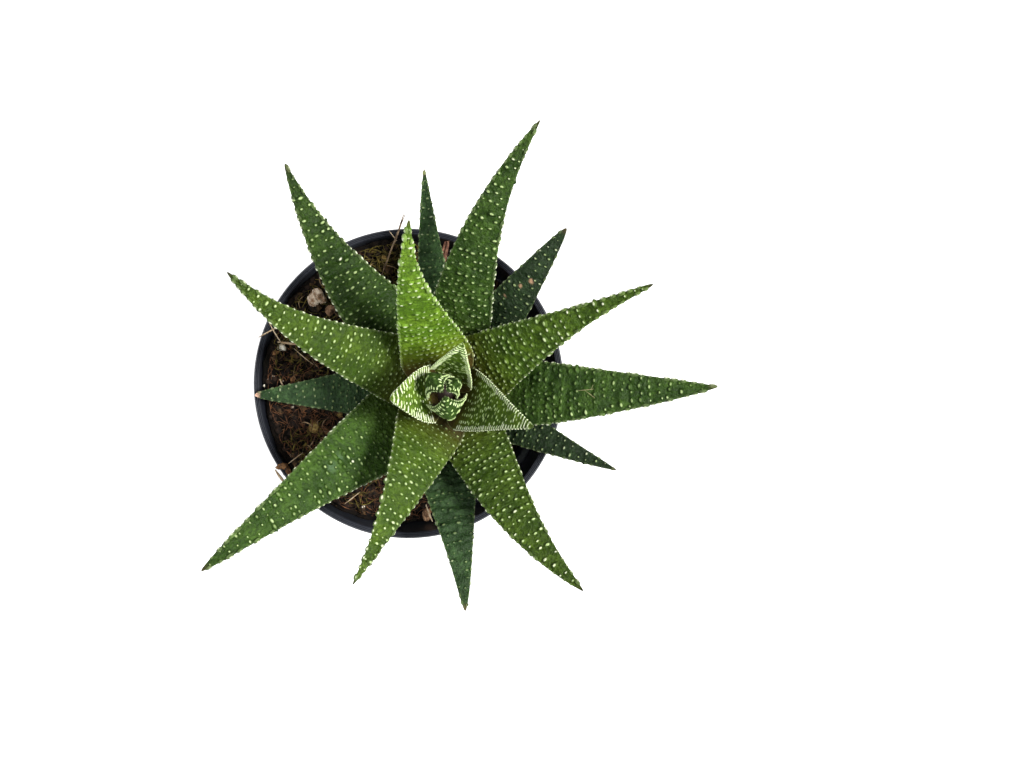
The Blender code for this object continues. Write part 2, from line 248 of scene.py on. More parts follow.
def bump(tree, shader, *layers):
    """Stacks bumps on the shader, each a (height socket, depth in metres, strength)."""
    normal = None
    for height, depth, strength in layers:
        sockets = {"Height": height, "Distance": depth, "Strength": strength}
        if normal is not None:
            sockets["Normal"] = normal
        normal = add(tree, "ShaderNodeBump", sockets).outputs["Normal"]
    tree.links.new(normal, shader.inputs["Normal"])


# ---- leaf surface ----


def leaf_line(leaf, s):
    """Points of the leaf's middle line at s from 0 at the stem to 1 at the tip."""
    s = np.asarray(s, float)[..., None]
    t = 1 - s
    turn = math.radians(leaf.azimuth)
    out = np.array([math.cos(turn), math.sin(turn), 0.0])
    side = np.array([-out[1], out[0], 0.0])
    up = np.array([0.0, 0.0, 1.0])
    axis = np.array([STEM_X, STEM_Y, 0.0])
    start = axis + out * leaf.root + up * leaf.base_z
    end = axis + out * leaf.reach + up * leaf.tip_z
    handle = 0.38 * np.linalg.norm(end - start)
    lift, droop = math.radians(leaf.rise), math.radians(leaf.tip_rise)
    near = start + handle * (out * math.cos(lift) + up * math.sin(lift))
    far = end - handle * (out * math.cos(droop) + up * math.sin(droop))
    point = t**3 * start + 3 * t * t * s * near + 3 * t * s * s * far + s**3 * end
    return point + side * (4 * leaf.sway * s * t + 6.75 * leaf.hook * s * s * t)


def leaf_frame(leaf, s):
    """(sideways, upwards) unit vectors of the blade at each s, square to the middle line."""
    s = np.asarray(s, float)
    step = 0.01
    along = leaf_line(leaf, np.minimum(1, s + step)) - leaf_line(leaf, np.maximum(0, s - step))
    along /= np.linalg.norm(along, axis=-1, keepdims=True)
    turn = math.radians(leaf.azimuth)
    side = np.array([-math.sin(turn), math.cos(turn), 0.0]) + 0 * along
    side = side - along * np.sum(along * side, axis=-1, keepdims=True)
    side /= np.linalg.norm(side, axis=-1, keepdims=True)
    up = np.cross(along, side)
    lean = np.radians(leaf.tip_roll * s)[..., None]
    return side * np.cos(lean) + up * np.sin(lean), up * np.cos(lean) - side * np.sin(lean)


def blade_share(leaf, s):
    """Width at s as a share of the full width."""
    outline = np.maximum(0.0, 1 - (leaf.blunt * s) ** leaf.full) ** leaf.taper + 0.055 * s * s
    waist = 1 - BASE_NARROWING * np.maximum(0.0, 1 - 5 * s) ** 2
    return outline * waist * np.sqrt(np.maximum(0.0, 1 - s**TIP_ROUNDING))


def leaf_length(leaf):
    steps = leaf_line(leaf, np.linspace(0, 1, 60))
    return float(np.linalg.norm(np.diff(steps, axis=0), axis=1).sum())


def leaf_surface(leaf, s, u, below):
    """Points on the blade. u runs from -1 to 1 across it, and below is 1 on the keeled side."""
    s, u = np.asarray(s, float), np.asarray(u, float)
    number = LEAVES.index(leaf)
    length = leaf_length(leaf)
    share = blade_share(leaf, s)
    side, up = leaf_frame(leaf, s)
    grown = np.clip((s - 0.12) * 4, 0, 1) * np.clip((1 - s) * 8, 0, 1)
    half = leaf.width / 2 * share * (1 + 0.012 * grown * np.sin(s * length / 0.36 + 3 * np.sign(u)))
    deep = leaf.thick * share**0.75 * (1 - BASE_THINNING * np.maximum(0.0, 1 - 4 * s) ** 2)
    lift_above = UPPER_SWELL * deep * (1 - u * u)
    lift_below = -deep * (1 - np.abs(u) ** 1.4)
    lift = leaf.cup * half * u * u + np.where(below > 0, lift_below, lift_above)
    wrinkle = wavy(40 + number, 1.0)(s * length / 2.3, u * half / 9.0, below * 5.0)
    mottle = wavy(80 + number, 1.0)(s * length / 7.0, u * half / 5.0, below * 3.0)
    relief = grown * (CREASES.get(leaf.name, 0.10) * wrinkle + 0.16 * mottle) * (1 - u**6)
    lift = lift + relief * np.where(below > 0, -1.0, 1.0)
    return leaf_line(leaf, s) + side * (half * u)[..., None] + up * lift[..., None]


# How deep the folds of a leaf are, in millimetres, where they are deeper than the ordinary 0.10.
CREASES = {"lower_leaf_1": 0.34, "lower_leaf_5": 0.26, "middle_leaf_4": 0.16, "middle_leaf_3": 0.15}
STATIONS = 170
ABOVE, BELOW = 21, 14


def spots(leaf, marks, s, u):
    """How strongly each point lies in one of the (s, u, radius) marks of a leaf."""
    value = np.zeros_like(s)
    length = leaf_length(leaf)
    for at, across, radius in marks:
        half = leaf.width / 2 * blade_share(leaf, np.float64(at))
        gap = np.hypot((s - at) * length, (u - across) * half) / radius
        value = np.maximum(value, np.clip(1.6 - 1.4 * gap, 0, 1))
    return value


# Dry scars as (s, u, radius), each leaf's brightness, partly its own tone and partly painted light and shade, and pale
# grey-green patches as (s, u, radius).
SCARS = {
    "lower_leaf_2": ((0.58, 0.5, 0.42), (0.67, 0.15, 0.55), (0.72, -0.2, 0.7)),
    "lower_leaf_4": ((0.46, 0.1, 0.45),),
}
TONE_AND_LIGHT = {
    "heart_leaf_1": 1.2, "heart_leaf_2": 1.4, "heart_leaf_3": 1.4, "inner_leaf_1": 2.2, "inner_leaf_2": 1.7,
    "inner_leaf_3": 1.35, "upper_leaf_1": 2.2, "upper_leaf_4": 0.9, "upper_leaf_5": 0.75, "middle_leaf_2": 1.2,
    "middle_leaf_4": 0.85, "lower_leaf_1": 2.1, "lower_leaf_2": 1.2, "lower_leaf_3": 2.6, "lower_leaf_5": 2.9,
}
PALE_PATCHES = {"middle_leaf_2": ((0.49, -0.1, 1.7), (0.45, -0.2, 1.2))}


def leaf_skin(leaf):
    """The closed blade, closely enough divided to carry its folds."""
    s = np.concatenate([np.linspace(0, 0.985, STATIONS - 3), [0.99, 0.994, 0.997]])
    above = np.sin(np.linspace(-math.pi / 2, math.pi / 2, ABOVE))
    under = np.sin(np.linspace(math.pi / 2, -math.pi / 2, BELOW + 2))[1:-1]
    u = np.concatenate([above, under])
    below = np.concatenate([np.zeros(ABOVE), np.ones(BELOW)])
    grid_s, grid_u = np.meshgrid(s, u, indexing="ij")
    grid_b = np.broadcast_to(below, grid_s.shape)
    points = leaf_surface(leaf, grid_s, grid_u, grid_b).reshape(-1, 3)
    around = len(u)
    points = np.vstack([points, leaf_line(leaf, 1.0), leaf_line(leaf, 0.0)])
    faces = loop_faces(STATIONS, around)
    tip, foot, last = len(points) - 2, len(points) - 1, (STATIONS - 1) * around
    for k in range(around):
        n = (k + 1) % around
        faces.append((last + k, last + n, tip))
        faces.append((n, k, foot))
    flat_s = np.append(grid_s.ravel(), [1.0, 0.0])
    flat_u = np.append(grid_u.ravel(), [0.0, 0.0])
    none = np.zeros(len(points))
    scar, bloom = (spots(leaf, marks.get(leaf.name, ()), flat_s, flat_u) for marks in (SCARS, PALE_PATCHES))
    return outward(new_mesh(
        leaf.name, points, faces, along=flat_s, across=flat_u, under=np.append(grid_b.ravel(), [0.0, 0.0]),
        pale=none, white=none, tone=none + TONE_AND_LIGHT.get(leaf.name, 1.0), scar=scar, bloom=bloom,
    ))


# ---- the raised dots ----

DOME_SIDES, DOME_UNIT = 8, 500
DOT_PROFILE = ((1.4, -0.3, 0.0), (1.15, 0.05, 0.0), (0.86, 0.52, 0.04), (0.56, 0.84, 0.35), (0.3, 0.97, 0.9))
BAR_PROFILE = ((1.05, -0.5, 0.1), (1.0, 0.1, 0.45), (0.86, 0.55, 0.8), (0.5, 0.92, 1.0))


def dome_mesh(name, profile):
    """One raised dot or bar, from a profile of (radius, height, paleness) up to a closed top."""
    points, pale = [], []
    for radius, height, paleness in profile:
        for k in range(DOME_SIDES):
            angle = 2 * math.pi * k / DOME_SIDES
            points.append([DOME_UNIT * v for v in (radius * math.cos(angle), radius * math.sin(angle), height)])
            pale.append(paleness)
    points.append((0, 0, DOME_UNIT))
    pale.append(1.0)
    faces = loop_faces(len(profile), DOME_SIDES)
    top, last = len(points) - 1, (len(profile) - 1) * DOME_SIDES
    for k in range(DOME_SIDES):
        faces.append((last + k, last + (k + 1) % DOME_SIDES, top))
    faces.append(tuple(reversed(range(DOME_SIDES))))
    return outward(new_mesh(name, points, faces, pale=pale))


# The length of the margin bars on the young leaves, the share of dots left out, the leaves with dull dots, how much
# less white the dots of a leaf are, and one stray white speck each on two leaves.
BARS = {
    "heart_leaf_1": 0.8, "heart_leaf_2": 1.0, "heart_leaf_3": 1.1, "inner_leaf_1": 1.5, "inner_leaf_2": 2.3,
    "inner_leaf_3": 1.4,
}
SPARSE = {
    "heart_leaf_1": 0.25, "heart_leaf_2": 0.25, "heart_leaf_3": 0.25, "inner_leaf_1": 0.35,
}
DULL = ("middle_leaf_3", "lower_leaf_1")
FAINT = {
    "heart_leaf_1": 0.5, "heart_leaf_2": 0.5, "heart_leaf_3": 0.5, "inner_leaf_1": 0.3, "inner_leaf_3": 0.1,
    "upper_leaf_2": 0.35, "upper_leaf_4": 0.4, "upper_leaf_5": 0.15, "middle_leaf_2": 0.3, "middle_leaf_4": 0.3,
}
SPECKS = {
    "middle_leaf_2": (0.42, 0.17, 0.0, 1.3, 1.2, 0.8, 1.0),
    "middle_leaf_4": (0.66, -0.25, 0.0, 1.8, 1.2, 0.7, 1.0),
}


def face_dots(leaf, rng, below, rows, bars):
    """Rows of dots, or of short bars on the young leaves, across one face of a leaf."""
    length, bar, faint = leaf_length(leaf), BARS.get(leaf.name), FAINT.get(leaf.name, 0.0)
    at = length * (0.2 if bar else 0.15)
    while at < length * 0.975:
        s = at / length
        growth = min(1.0, s * 1.9)
        width = leaf.width * blade_share(leaf, np.float64(s))
        pitch, gap = (0.98, 1.8) if bar else (1.2 + 1.15 * growth, 1.15 + 0.62 * growth)
        middle = width * 0.9 - (bar * 1.1 if bar else 0.0)
        count = max(int(round(middle / gap)), 1 if middle > 0.5 else 0)
        shift = rng.uniform(-0.3, 0.3)
        for k in range(count):
            u = ((k + 0.5 + shift) / count * 2 - 1) * middle / width + rng.normal(0, 0.16 / count)
            if rng.random() < SPARSE.get(leaf.name, 0.22 if bar else 0.17) or abs(u) > 0.9:
                continue
            row_s = s + rng.normal(0, 0.08 if bar else 0.12) * pitch / length
            if bar:
                size = (rng.uniform(0.6, 1.1), rng.uniform(0.32, 0.44), 0.34)
                bars.append((row_s, u, below, *size, rng.uniform(-0.5, 0.6) - faint))
                continue
            size = (0.6 + 0.5 * growth) * rng.uniform(0.6, 1.25) * (1.0 if s < 0.9 else 0.7)
            size *= 0.85 if leaf.name.startswith("lower") else 1.0
            lean = rng.uniform(1.0, 1.7)
            bright = (-0.2 if leaf.name.startswith("upper") else -0.55) + 0.9 * s + rng.uniform(-0.4, 0.4) - faint
            if leaf.name in DULL and u > -0.6:
                bright = rng.uniform(-0.85, -0.35)
            rows.append((row_s, u, below, size * lean, size * 0.9, size * rng.uniform(0.75, 1.0), bright))
        if bar and width > bar * 0.8:
            reach = bar * rng.uniform(0.8, 1.15)
            for edge in (-1.0, 1.0):
                u = edge * max(0.3, 1 - 1.05 * reach / width)
                bars.append((s, u, below, reach, rng.uniform(0.36, 0.48), 0.38, rng.uniform(0.4, 0.9) - faint))
        at += pitch * rng.uniform(0.92, 1.08)


def margin_teeth(leaf, rng, edge, rows, bars):
    """White teeth along one margin of a leaf."""
    length, bar, old = leaf_length(leaf), BARS.get(leaf.name), leaf.name.startswith("lower")
    at = length * (0.18 if bar else 0.13)
    while at < length * 0.985:
        s = at / length
        growth = min(1.0, s * 2.2)
        size = (0.62 + 0.34 * growth) * rng.uniform(0.55, 1.3) * (0.7 if old else 1.0)
        step = (0.95 + 1.0 * growth) * rng.uniform(0.7, 1.35)
        if bar:
            step = 0.98 * rng.uniform(0.85, 1.15)
            bars.append((s, edge, 0.0, 0.45, 0.55, 0.45, 0.8 - FAINT.get(leaf.name, 0.0)))
        else:
            row = (size * 0.9, size * rng.uniform(1.1, 1.7), size * 0.75, 0.35 if old else 0.8)
            rows.append((s, edge, 0.0, *row))
        at += step


def leaf_dots(leaf):
    """Where the dots and the bars of a leaf are, as two tables.

    Each row is (s, u, below, width across, length along, height, whiteness).
    """
    rng = np.random.default_rng(700 + LEAVES.index(leaf))
    rows, bars = ([SPECKS[leaf.name]] if leaf.name in SPECKS else []), []
    for below in (0.0, 1.0):
        face_dots(leaf, rng, below, rows, bars)
    for edge in (-1.0, 1.0):
        margin_teeth(leaf, rng, edge, rows, bars)
    return np.array(rows), np.array(bars)


def dot_points(leaf, rows):
    """A point for each dot, with the turn and stretch of the dome that goes there."""
    s, u, below = rows[:, 0], rows[:, 1], rows[:, 2]
    s = np.clip(s, 0.02, 0.985)
    inner_u = np.clip(u, -0.97, 0.97)
    here = leaf_surface(leaf, s, inner_u, below)
    along = leaf_surface(leaf, s + 0.004, inner_u, below) - leaf_surface(leaf, s - 0.004, inner_u, below)
    across = leaf_surface(leaf, s, inner_u + 0.02, below) - leaf_surface(leaf, s, inner_u - 0.02, below)
    lift = np.cross(along, across)
    lift /= np.linalg.norm(lift, axis=1)[:, None]
    lift *= np.where(below > 0, -1.0, 1.0)[:, None]
    side, up = leaf_frame(leaf, s)
    lift *= np.sign(np.sum(lift * up, axis=1) * np.where(below > 0, -1.0, 1.0))[:, None]
    margin = np.abs(u) > 0.99
    edge = leaf_surface(leaf, s, np.sign(u) * 1.0, 0 * below)
    here = np.where(margin[:, None], edge - side * (0.12 * np.sign(u))[:, None], here)
    lift = np.where(margin[:, None], side * np.sign(u)[:, None] * 0.75 + up * 0.66, lift)
    turns = []
    for toward, face in zip(along, lift):
        z = Vector(face).normalized()
        y = Vector(toward)
        y = (y - z * y.dot(z)).normalized()
        x = y.cross(z)
        turns.append(Matrix((x, y, z)).transposed().to_euler())
    mesh = new_mesh(
        f"{leaf.name}_dots", here, [], False, along=s, across=u, under=below, white=rows[:, 6],
        tone=np.full(len(s), TONE_AND_LIGHT.get(leaf.name, 1.0)), scar=np.zeros(len(s)), bloom=np.zeros(len(s)),
    )
    for key, values in (("turn", np.array(turns)), ("stretch", rows[:, 3:6] * MM)):
        data = mesh.attributes.new(key, "FLOAT_VECTOR", "POINT").data
        data.foreach_set("vector", np.asarray(values, np.float32).ravel())
    return mesh


def named_vector(tree, name):
    return add(tree, "GeometryNodeInputNamedAttribute", {"Name": name}, data_type="FLOAT_VECTOR").outputs[0]


def tree_with_inputs(name, *sockets):
    """A geometry tree with named inputs, each a (name, type, default)."""
    tree = bpy.data.node_groups.new(name, "GeometryNodeTree")
    tree.interface.new_socket("Geometry", in_out="OUTPUT", socket_type="NodeSocketGeometry")
    tree.interface.new_socket("Geometry", in_out="INPUT", socket_type="NodeSocketGeometry")
    for label, kind, default in sockets:
        socket = tree.interface.new_socket(label, in_out="INPUT", socket_type=kind)
        if default is not None:
            socket.default_value = default
    return tree, tree.nodes.new("NodeGroupInput").outputs, tree.nodes.new("NodeGroupOutput").inputs


def use_tree(item, tree, **values):
    """Puts a geometry tree on an object, with inputs given by name and set by identifier."""
    modifier = item.modifiers.new(tree.name, "NODES")
    modifier.node_group = tree
    for socket in tree.interface.items_tree:
        if socket.in_out == "INPUT" and socket.name.replace(" ", "_") in values:
            modifier[socket.identifier] = values[socket.name.replace(" ", "_")]


def end_tree(tree, geometry, finish, result):
    """Ends a geometry tree in one real mesh with its finish."""
    solid = add(tree, "GeometryNodeRealizeInstances", {"Geometry": geometry}).outputs[0]
    done = add(tree, "GeometryNodeSetMaterial", {"Geometry": solid, "Material": finish})
    tree.links.new(done.outputs[0], result[0])
    return tree


def stud_tree():
    """Grows a dome on each point of another object, on the skin that comes in."""
    tree, given, result = tree_with_inputs(
        "studs",
        ("Points", "NodeSocketObject", None),
        ("Dome", "NodeSocketObject", None),
        ("Size", "NodeSocketFloat", 1.0),
        ("Finish", "NodeSocketMaterial", None),
    )
    points = add(tree, "GeometryNodeObjectInfo", {"Object": given["Points"]}).outputs["Geometry"]
    dome = add(tree, "GeometryNodeObjectInfo", {"Object": given["Dome"]}).outputs["Geometry"]
    size = add(tree, "ShaderNodeVectorMath", {0: named_vector(tree, "stretch")}, operation="SCALE")
    tree.links.new(given["Size"], size.inputs["Scale"])
    sockets = {"Points": points, "Instance": dome, "Rotation": named_vector(tree, "turn"), "Scale": size.outputs[0]}
    grown = add(tree, "GeometryNodeInstanceOnPoints", sockets).outputs[0]
    joined = add(tree, "GeometryNodeJoinGeometry")
    tree.links.new(grown, joined.inputs[0])
    tree.links.new(given["Geometry"], joined.inputs[0])
    return end_tree(tree, joined.outputs[0], given["Finish"], result)


# ---- leaf finishes ----


def leaf_finish(name, deep, light, foot, tip, crevice_shade, dot, white, gloss):
    """Living skin: mottled green, olive at the foot, brown at the tip, with pale dots and white teeth."""
    material, tree, shader, place = start_material(name, gloss, Subsurface_Weight=0.05, Specular_IOR_Level=0.2)
    shader.inputs["Subsurface Radius"].default_value = (0.6, 1.0, 0.25)
    shader.inputs["Subsurface Scale"].default_value = 0.001
    along, across = add_attribute(tree, "along"), add_attribute(tree, "across")
    cloud = add_noise(tree, place, 190.0, 4.0)
    grain = add_noise(tree, place, 1250.0, 4.0, 0.65)
    folds = add(tree, "ShaderNodeCombineXYZ", {0: add_times(tree, along, 48.0), 1: add_times(tree, across, 3.2)})
    folds = add_noise(tree, folds.outputs[0], 1.0, 3.0, 0.6, 0.6)
    cells = add(tree, "ShaderNodeTexVoronoi", {"Vector": place, "Scale": 1500.0}).outputs["Distance"]
    skin = add_mix(tree, add_range(tree, cloud, 0.36, 0.66), deep, light)
    skin = add_mix(tree, add_range(tree, grain, 0.42, 0.68, 0.0, 0.75), skin, tuple(0.5 * c for c in deep))
    # painted shade: the skin is darkened in the valleys of the folds, the same pattern that bumps them.
    skin = add_mix(tree, add_range(tree, folds, 0.35, 0.62, 0.5, 0.0), skin, tuple(0.45 * c for c in deep))
    skin = add_mix(tree, add_range(tree, along, 0.36, 0.10, 0.0, 0.85), skin, foot)
    # painted shade: the leaf's foot, down in the crevice between the leaves, is turned dark brown.
    skin = add_mix(tree, add_range(tree, along, crevice_shade, crevice_shade * 0.55, 0.0, 0.85), skin, (0.030, 0.017, 0.005))
    skin = add_mix(tree, add_range(tree, along, 0.965, 1.0), skin, tip)
    edge = add(tree, "ShaderNodeMath", {0: across}, operation="ABSOLUTE").outputs[0]
    skin = add_mix(tree, add_range(tree, edge, 0.95, 1.0, 0.0, 0.12), skin, dot)
    # painted light and shade: each leaf's colour is multiplied by its own factor, partly its real tone and partly
    # making up for how the lamps light or shade it.
    skin = add_mix(tree, 1.0, skin, add_attribute(tree, "tone"), "MULTIPLY")
    shaded = add_times(tree, add_attribute(tree, "under"), 0.0 if name.endswith("heart") else 0.45)
    skin = add_mix(tree, shaded, skin, tuple(0.7 * c for c in deep))
    # pale grey-green patches on the skin, at the marks listed for the leaf.
    skin = add_mix(tree, add_times(tree, add_attribute(tree, "bloom"), 0.4), skin, (0.13, 0.22, 0.12))
    skin = add_mix(tree, add_attribute(tree, "scar"), skin, (0.42, 0.25, 0.15))
    brightness = add_attribute(tree, "white")
    stud = add_mix(tree, add_range(tree, brightness, 0.0, 1.0), dot, white)
    stud = add_mix(tree, add_range(tree, brightness, 0.0, -1.0), stud, light)
    pale = add_range(tree, add_attribute(tree, "pale"), 0.12, 0.85)
    fade = add_range(tree, along, 0.985, 0.9, 0.35, 1.0)
    colour = add_mix(tree, add_times(tree, pale, fade), skin, stud)
    tree.links.new(colour, shader.inputs["Base Color"])
    tree.links.new(add_range(tree, cloud, 0.2, 0.8, gloss - 0.06, gloss + 0.1), shader.inputs["Roughness"])
    bump(tree, shader, (cells, 0.00012, 0.6), (grain, 0.0005, 0.9), (folds, 0.0006, 0.9))
    return material


# Colours of a leaf as (deep, light, foot, tip), how far up the dark brown painted crevice shade goes, and how bright
# its dots are.
LEAF_FINISHES = {
    "heart": ((0.022, 0.055, 0.005), (0.050, 0.11, 0.010), (0.030, 0.018, 0.008), (0.05, 0.07, 0.02), 0.52, 0.8),
    "inner": ((0.045, 0.090, 0.006), (0.105, 0.180, 0.012), (0.080, 0.078, 0.006), (0.06, 0.09, 0.02), 0.22, 0.85),
    "upper": ((0.042, 0.088, 0.005), (0.085, 0.152, 0.011), (0.060, 0.068, 0.004), (0.05, 0.05, 0.015), 0.21, 0.54),
    "middle": ((0.022, 0.055, 0.005), (0.050, 0.105, 0.012), (0.030, 0.050, 0.004), (0.06, 0.055, 0.02), 0.14, 0.50),
    # painted shade: the lower leaves' colours and dots are darker, partly their own deeper green and partly the shade
    # of the leaves above them.
    "lower": ((0.009, 0.022, 0.006), (0.020, 0.043, 0.013), (0.015, 0.025, 0.006), (0.06, 0.045, 0.02), 0.12, 0.34),
    "lower_dry": ((0.009, 0.022, 0.007), (0.021, 0.044, 0.014), (0.012, 0.02, 0.006), (0.42, 0.26, 0.19), 0.12, 0.26),
}
DOT_COLOUR, WHITE = (0.76, 0.98, 0.42), (0.84, 0.88, 0.66)


def make_leaves():
    shapes = [new_object("dot", dome_mesh("dot", DOT_PROFILE)), new_object("bar", dome_mesh("bar", BAR_PROFILE))]
    studs = stud_tree()
    finishes = {}
    for key, (deep, light, foot, tip, crevice_shade, bright) in LEAF_FINISHES.items():
        dot = tuple(c * bright for c in DOT_COLOUR)
        white = tuple(c * min(1.0, bright * 1.6) for c in WHITE)
        finishes[key] = leaf_finish(f"leaf {key}", deep, light, foot, tip, crevice_shade, dot, white, 0.44)
    for leaf in LEAVES:
        kind = leaf.name.split("_")[0]
        skin = new_object(f"{leaf.name}_studded", leaf_skin(leaf))
        finish = finishes["lower_dry" if leaf.name == "lower_leaf_3" else kind]
        helpers = []
        for shape, rows in zip(shapes, leaf_dots(leaf)):
            if len(rows):
                helpers.append(new_object(f"{leaf.name}_{shape.name}s", dot_points(leaf, rows)))
                use_tree(skin, studs, Points=helpers[-1], Dome=shape, Size=1.0, Finish=finish)
        piece = settled(skin)
        for helper in helpers:
            bpy.data.objects.remove(helper)
        placed(piece, f"leaf_{kind}", leaf.name)
    for shape in shapes:
        bpy.data.objects.remove(shape)


# ---- stem ----


def make_stem():
    """A short tapering axis ringed by the scars of shed leaves."""
    low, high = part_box("stem")
    centre = [(low[i] + high[i]) / 2 / MM for i in (0, 1)]
    foot_radius = (high[0] - low[0]) / 2 / MM
    rings, around = 70, 40
    points, along = [], []
    for i in range(rings):
        share = i / (rings - 1)
        z = low[2] / MM + 0.1 + (high[2] - low[2] - 0.2 * MM) / MM * share
        radius = foot_radius * (1 - 0.6 * share) * (1 - 0.05 * abs(math.sin(share * 38)))
        for k in range(around):
            angle = 2 * math.pi * k / around
            points.append((centre[0] + radius * math.cos(angle), centre[1] + radius * math.sin(angle), z))
            along.append(share)
    faces = loop_faces(rings, around)
    faces.append(tuple(reversed(range(around))))
    faces.append(tuple(range((rings - 1) * around, rings * around)))
    mesh = outward(new_mesh("stem", points, faces, along=along))
    material, tree, shader, place = start_material("stem", 0.6)
    noise = add_noise(tree, place, 420.0, 5.0)
    colour = add_mix(tree, add_range(tree, noise, 0.3, 0.7), (0.10, 0.085, 0.03), (0.24, 0.24, 0.08))
    colour = add_mix(tree, add_range(tree, add_attribute(tree, "along"), 0.3, 0.0), colour, (0.06, 0.035, 0.02))
    # painted shade: the top of the stem, under the leaf bases, is made nearly black.
    colour = add_mix(tree, add_range(tree, add_attribute(tree, "along"), 0.6, 0.85), colour, (0.022, 0.010, 0.006))
    tree.links.new(colour, shader.inputs["Base Color"])
    bump(tree, shader, (noise, 0.0004, 0.7))
    mesh.materials.append(material)
    placed(new_object("stem_axis", mesh), "stem", "stem")


# ---- pot ----

LIP_RADIUS, POT_HEIGHT, COLLAR_DEPTH, COLLAR_DRAFT, WALL = 42.5, 72.0, 14.5, 1.3, 1.0
LIP_WIDTH, LIP_DROP, LEDGE_WIDTH, BASE_RADIUS = 1.8, 2.2, 1.9, 29.5
HUB_RADIUS, FOOT_WIDTH, FOOT_HEIGHT, DRAIN_RADIUS, DRAIN_HOLES = 10.0, 3.0, 1.2, 3.2, 6
DRILL_LENGTH = 6.0
LEDGE = POT_HEIGHT - COLLAR_DEPTH


def collar_radius(z):
    return LIP_RADIUS - LIP_WIDTH - COLLAR_DRAFT * (1 - (z - LEDGE) / COLLAR_DEPTH)


def body_radius(z):
    top = collar_radius(LEDGE) - LEDGE_WIDTH
    return BASE_RADIUS - WALL + (top - BASE_RADIUS + WALL) * (z / LEDGE)


def pot_profile():
    """The wall's outline from the axis underneath, up the outside and down the inside, with its small radii."""
    floor, lip_foot, foot = FOOT_HEIGHT + WALL, POT_HEIGHT - LIP_DROP, BASE_RADIUS - FOOT_WIDTH
    body_top, collar_foot, collar_top = body_radius(LEDGE), collar_radius(LEDGE), collar_radius(lip_foot)
    outline = [
        (0, 0), (HUB_RADIUS - 0.4, 0), (HUB_RADIUS, 0.15), (HUB_RADIUS + FOOT_HEIGHT, FOOT_HEIGHT),
        (foot - FOOT_HEIGHT, FOOT_HEIGHT), (foot, 0.15),
        (foot + 0.3, 0), (BASE_RADIUS - 0.6, 0), (BASE_RADIUS - 0.15, 0.15), (BASE_RADIUS, 0.6),
    ]
    for z in np.linspace(6, LEDGE - WALL - 0.4, 9):
        outline.append((body_radius(z) + WALL, z))
    outline += [
        (body_top + WALL + 0.15, LEDGE - WALL - 0.1), (body_top + WALL + 0.5, LEDGE - WALL),
        (collar_foot + WALL - 0.4, LEDGE - WALL), (collar_foot + WALL - 0.08, LEDGE - WALL + 0.15),
        (collar_foot + WALL, LEDGE - WALL + 0.5), (collar_radius(LEDGE + 6) + WALL, LEDGE + 6),
        (collar_top + WALL, lip_foot - 0.3), (collar_top + WALL + 0.25, lip_foot),
        (LIP_RADIUS - 0.35, lip_foot), (LIP_RADIUS - 0.08, lip_foot + 0.12), (LIP_RADIUS, lip_foot + 0.45),
        (LIP_RADIUS, POT_HEIGHT - 0.75), (LIP_RADIUS - 0.08, POT_HEIGHT - 0.4), (LIP_RADIUS - 0.28, POT_HEIGHT - 0.14),
        (LIP_RADIUS - 0.5, POT_HEIGHT - 0.03),
    ]
    flat = LIP_WIDTH - 0.5
    for i in range(1, 18):
        share = i / 18
        groove = 0.16 * (1 - math.cos(share * 6 * math.pi))
        outline.append((LIP_RADIUS - 0.5 - flat * share, POT_HEIGHT - groove))
    outline += [(collar_radius(POT_HEIGHT) + 0.05, POT_HEIGHT - 0.05), (collar_radius(POT_HEIGHT), POT_HEIGHT - 0.25)]
    for z in np.linspace(POT_HEIGHT - 2, LEDGE + 0.5, 6):
        outline.append((collar_radius(z), z))
    outline += [
        (collar_foot - 0.1, LEDGE + 0.1), (collar_foot - 0.4, LEDGE),
        (body_top + 0.5, LEDGE), (body_top + 0.12, LEDGE - 0.12), (body_top, LEDGE - 0.5),
    ]
    for z in np.linspace(LEDGE - 4, floor + 1, 8):
        outline.append((body_radius(z), z))
    outline += [(body_radius(floor) - 0.3, floor), (0, floor)]
    return outline


def lathe(name, outline, segments):
    """A closed turned solid from an outline that starts and ends on the axis."""
    body = outline[1:-1]
    points = [(0, 0, outline[0][1])]
    for radius, z in body:
        for k in range(segments):
            angle = 2 * math.pi * k / segments
            points.append((radius * math.cos(angle), radius * math.sin(angle), z))
    points.append((0, 0, outline[-1][1]))
    faces = loop_faces(len(body), segments, 1)
    last = 1 + (len(body) - 1) * segments
    for k in range(segments):
        n = (k + 1) % segments
        faces.append((0, 1 + n, 1 + k))
        faces.append((last + k, last + n, len(points) - 1))
    return outward(new_mesh(name, points, faces, False))


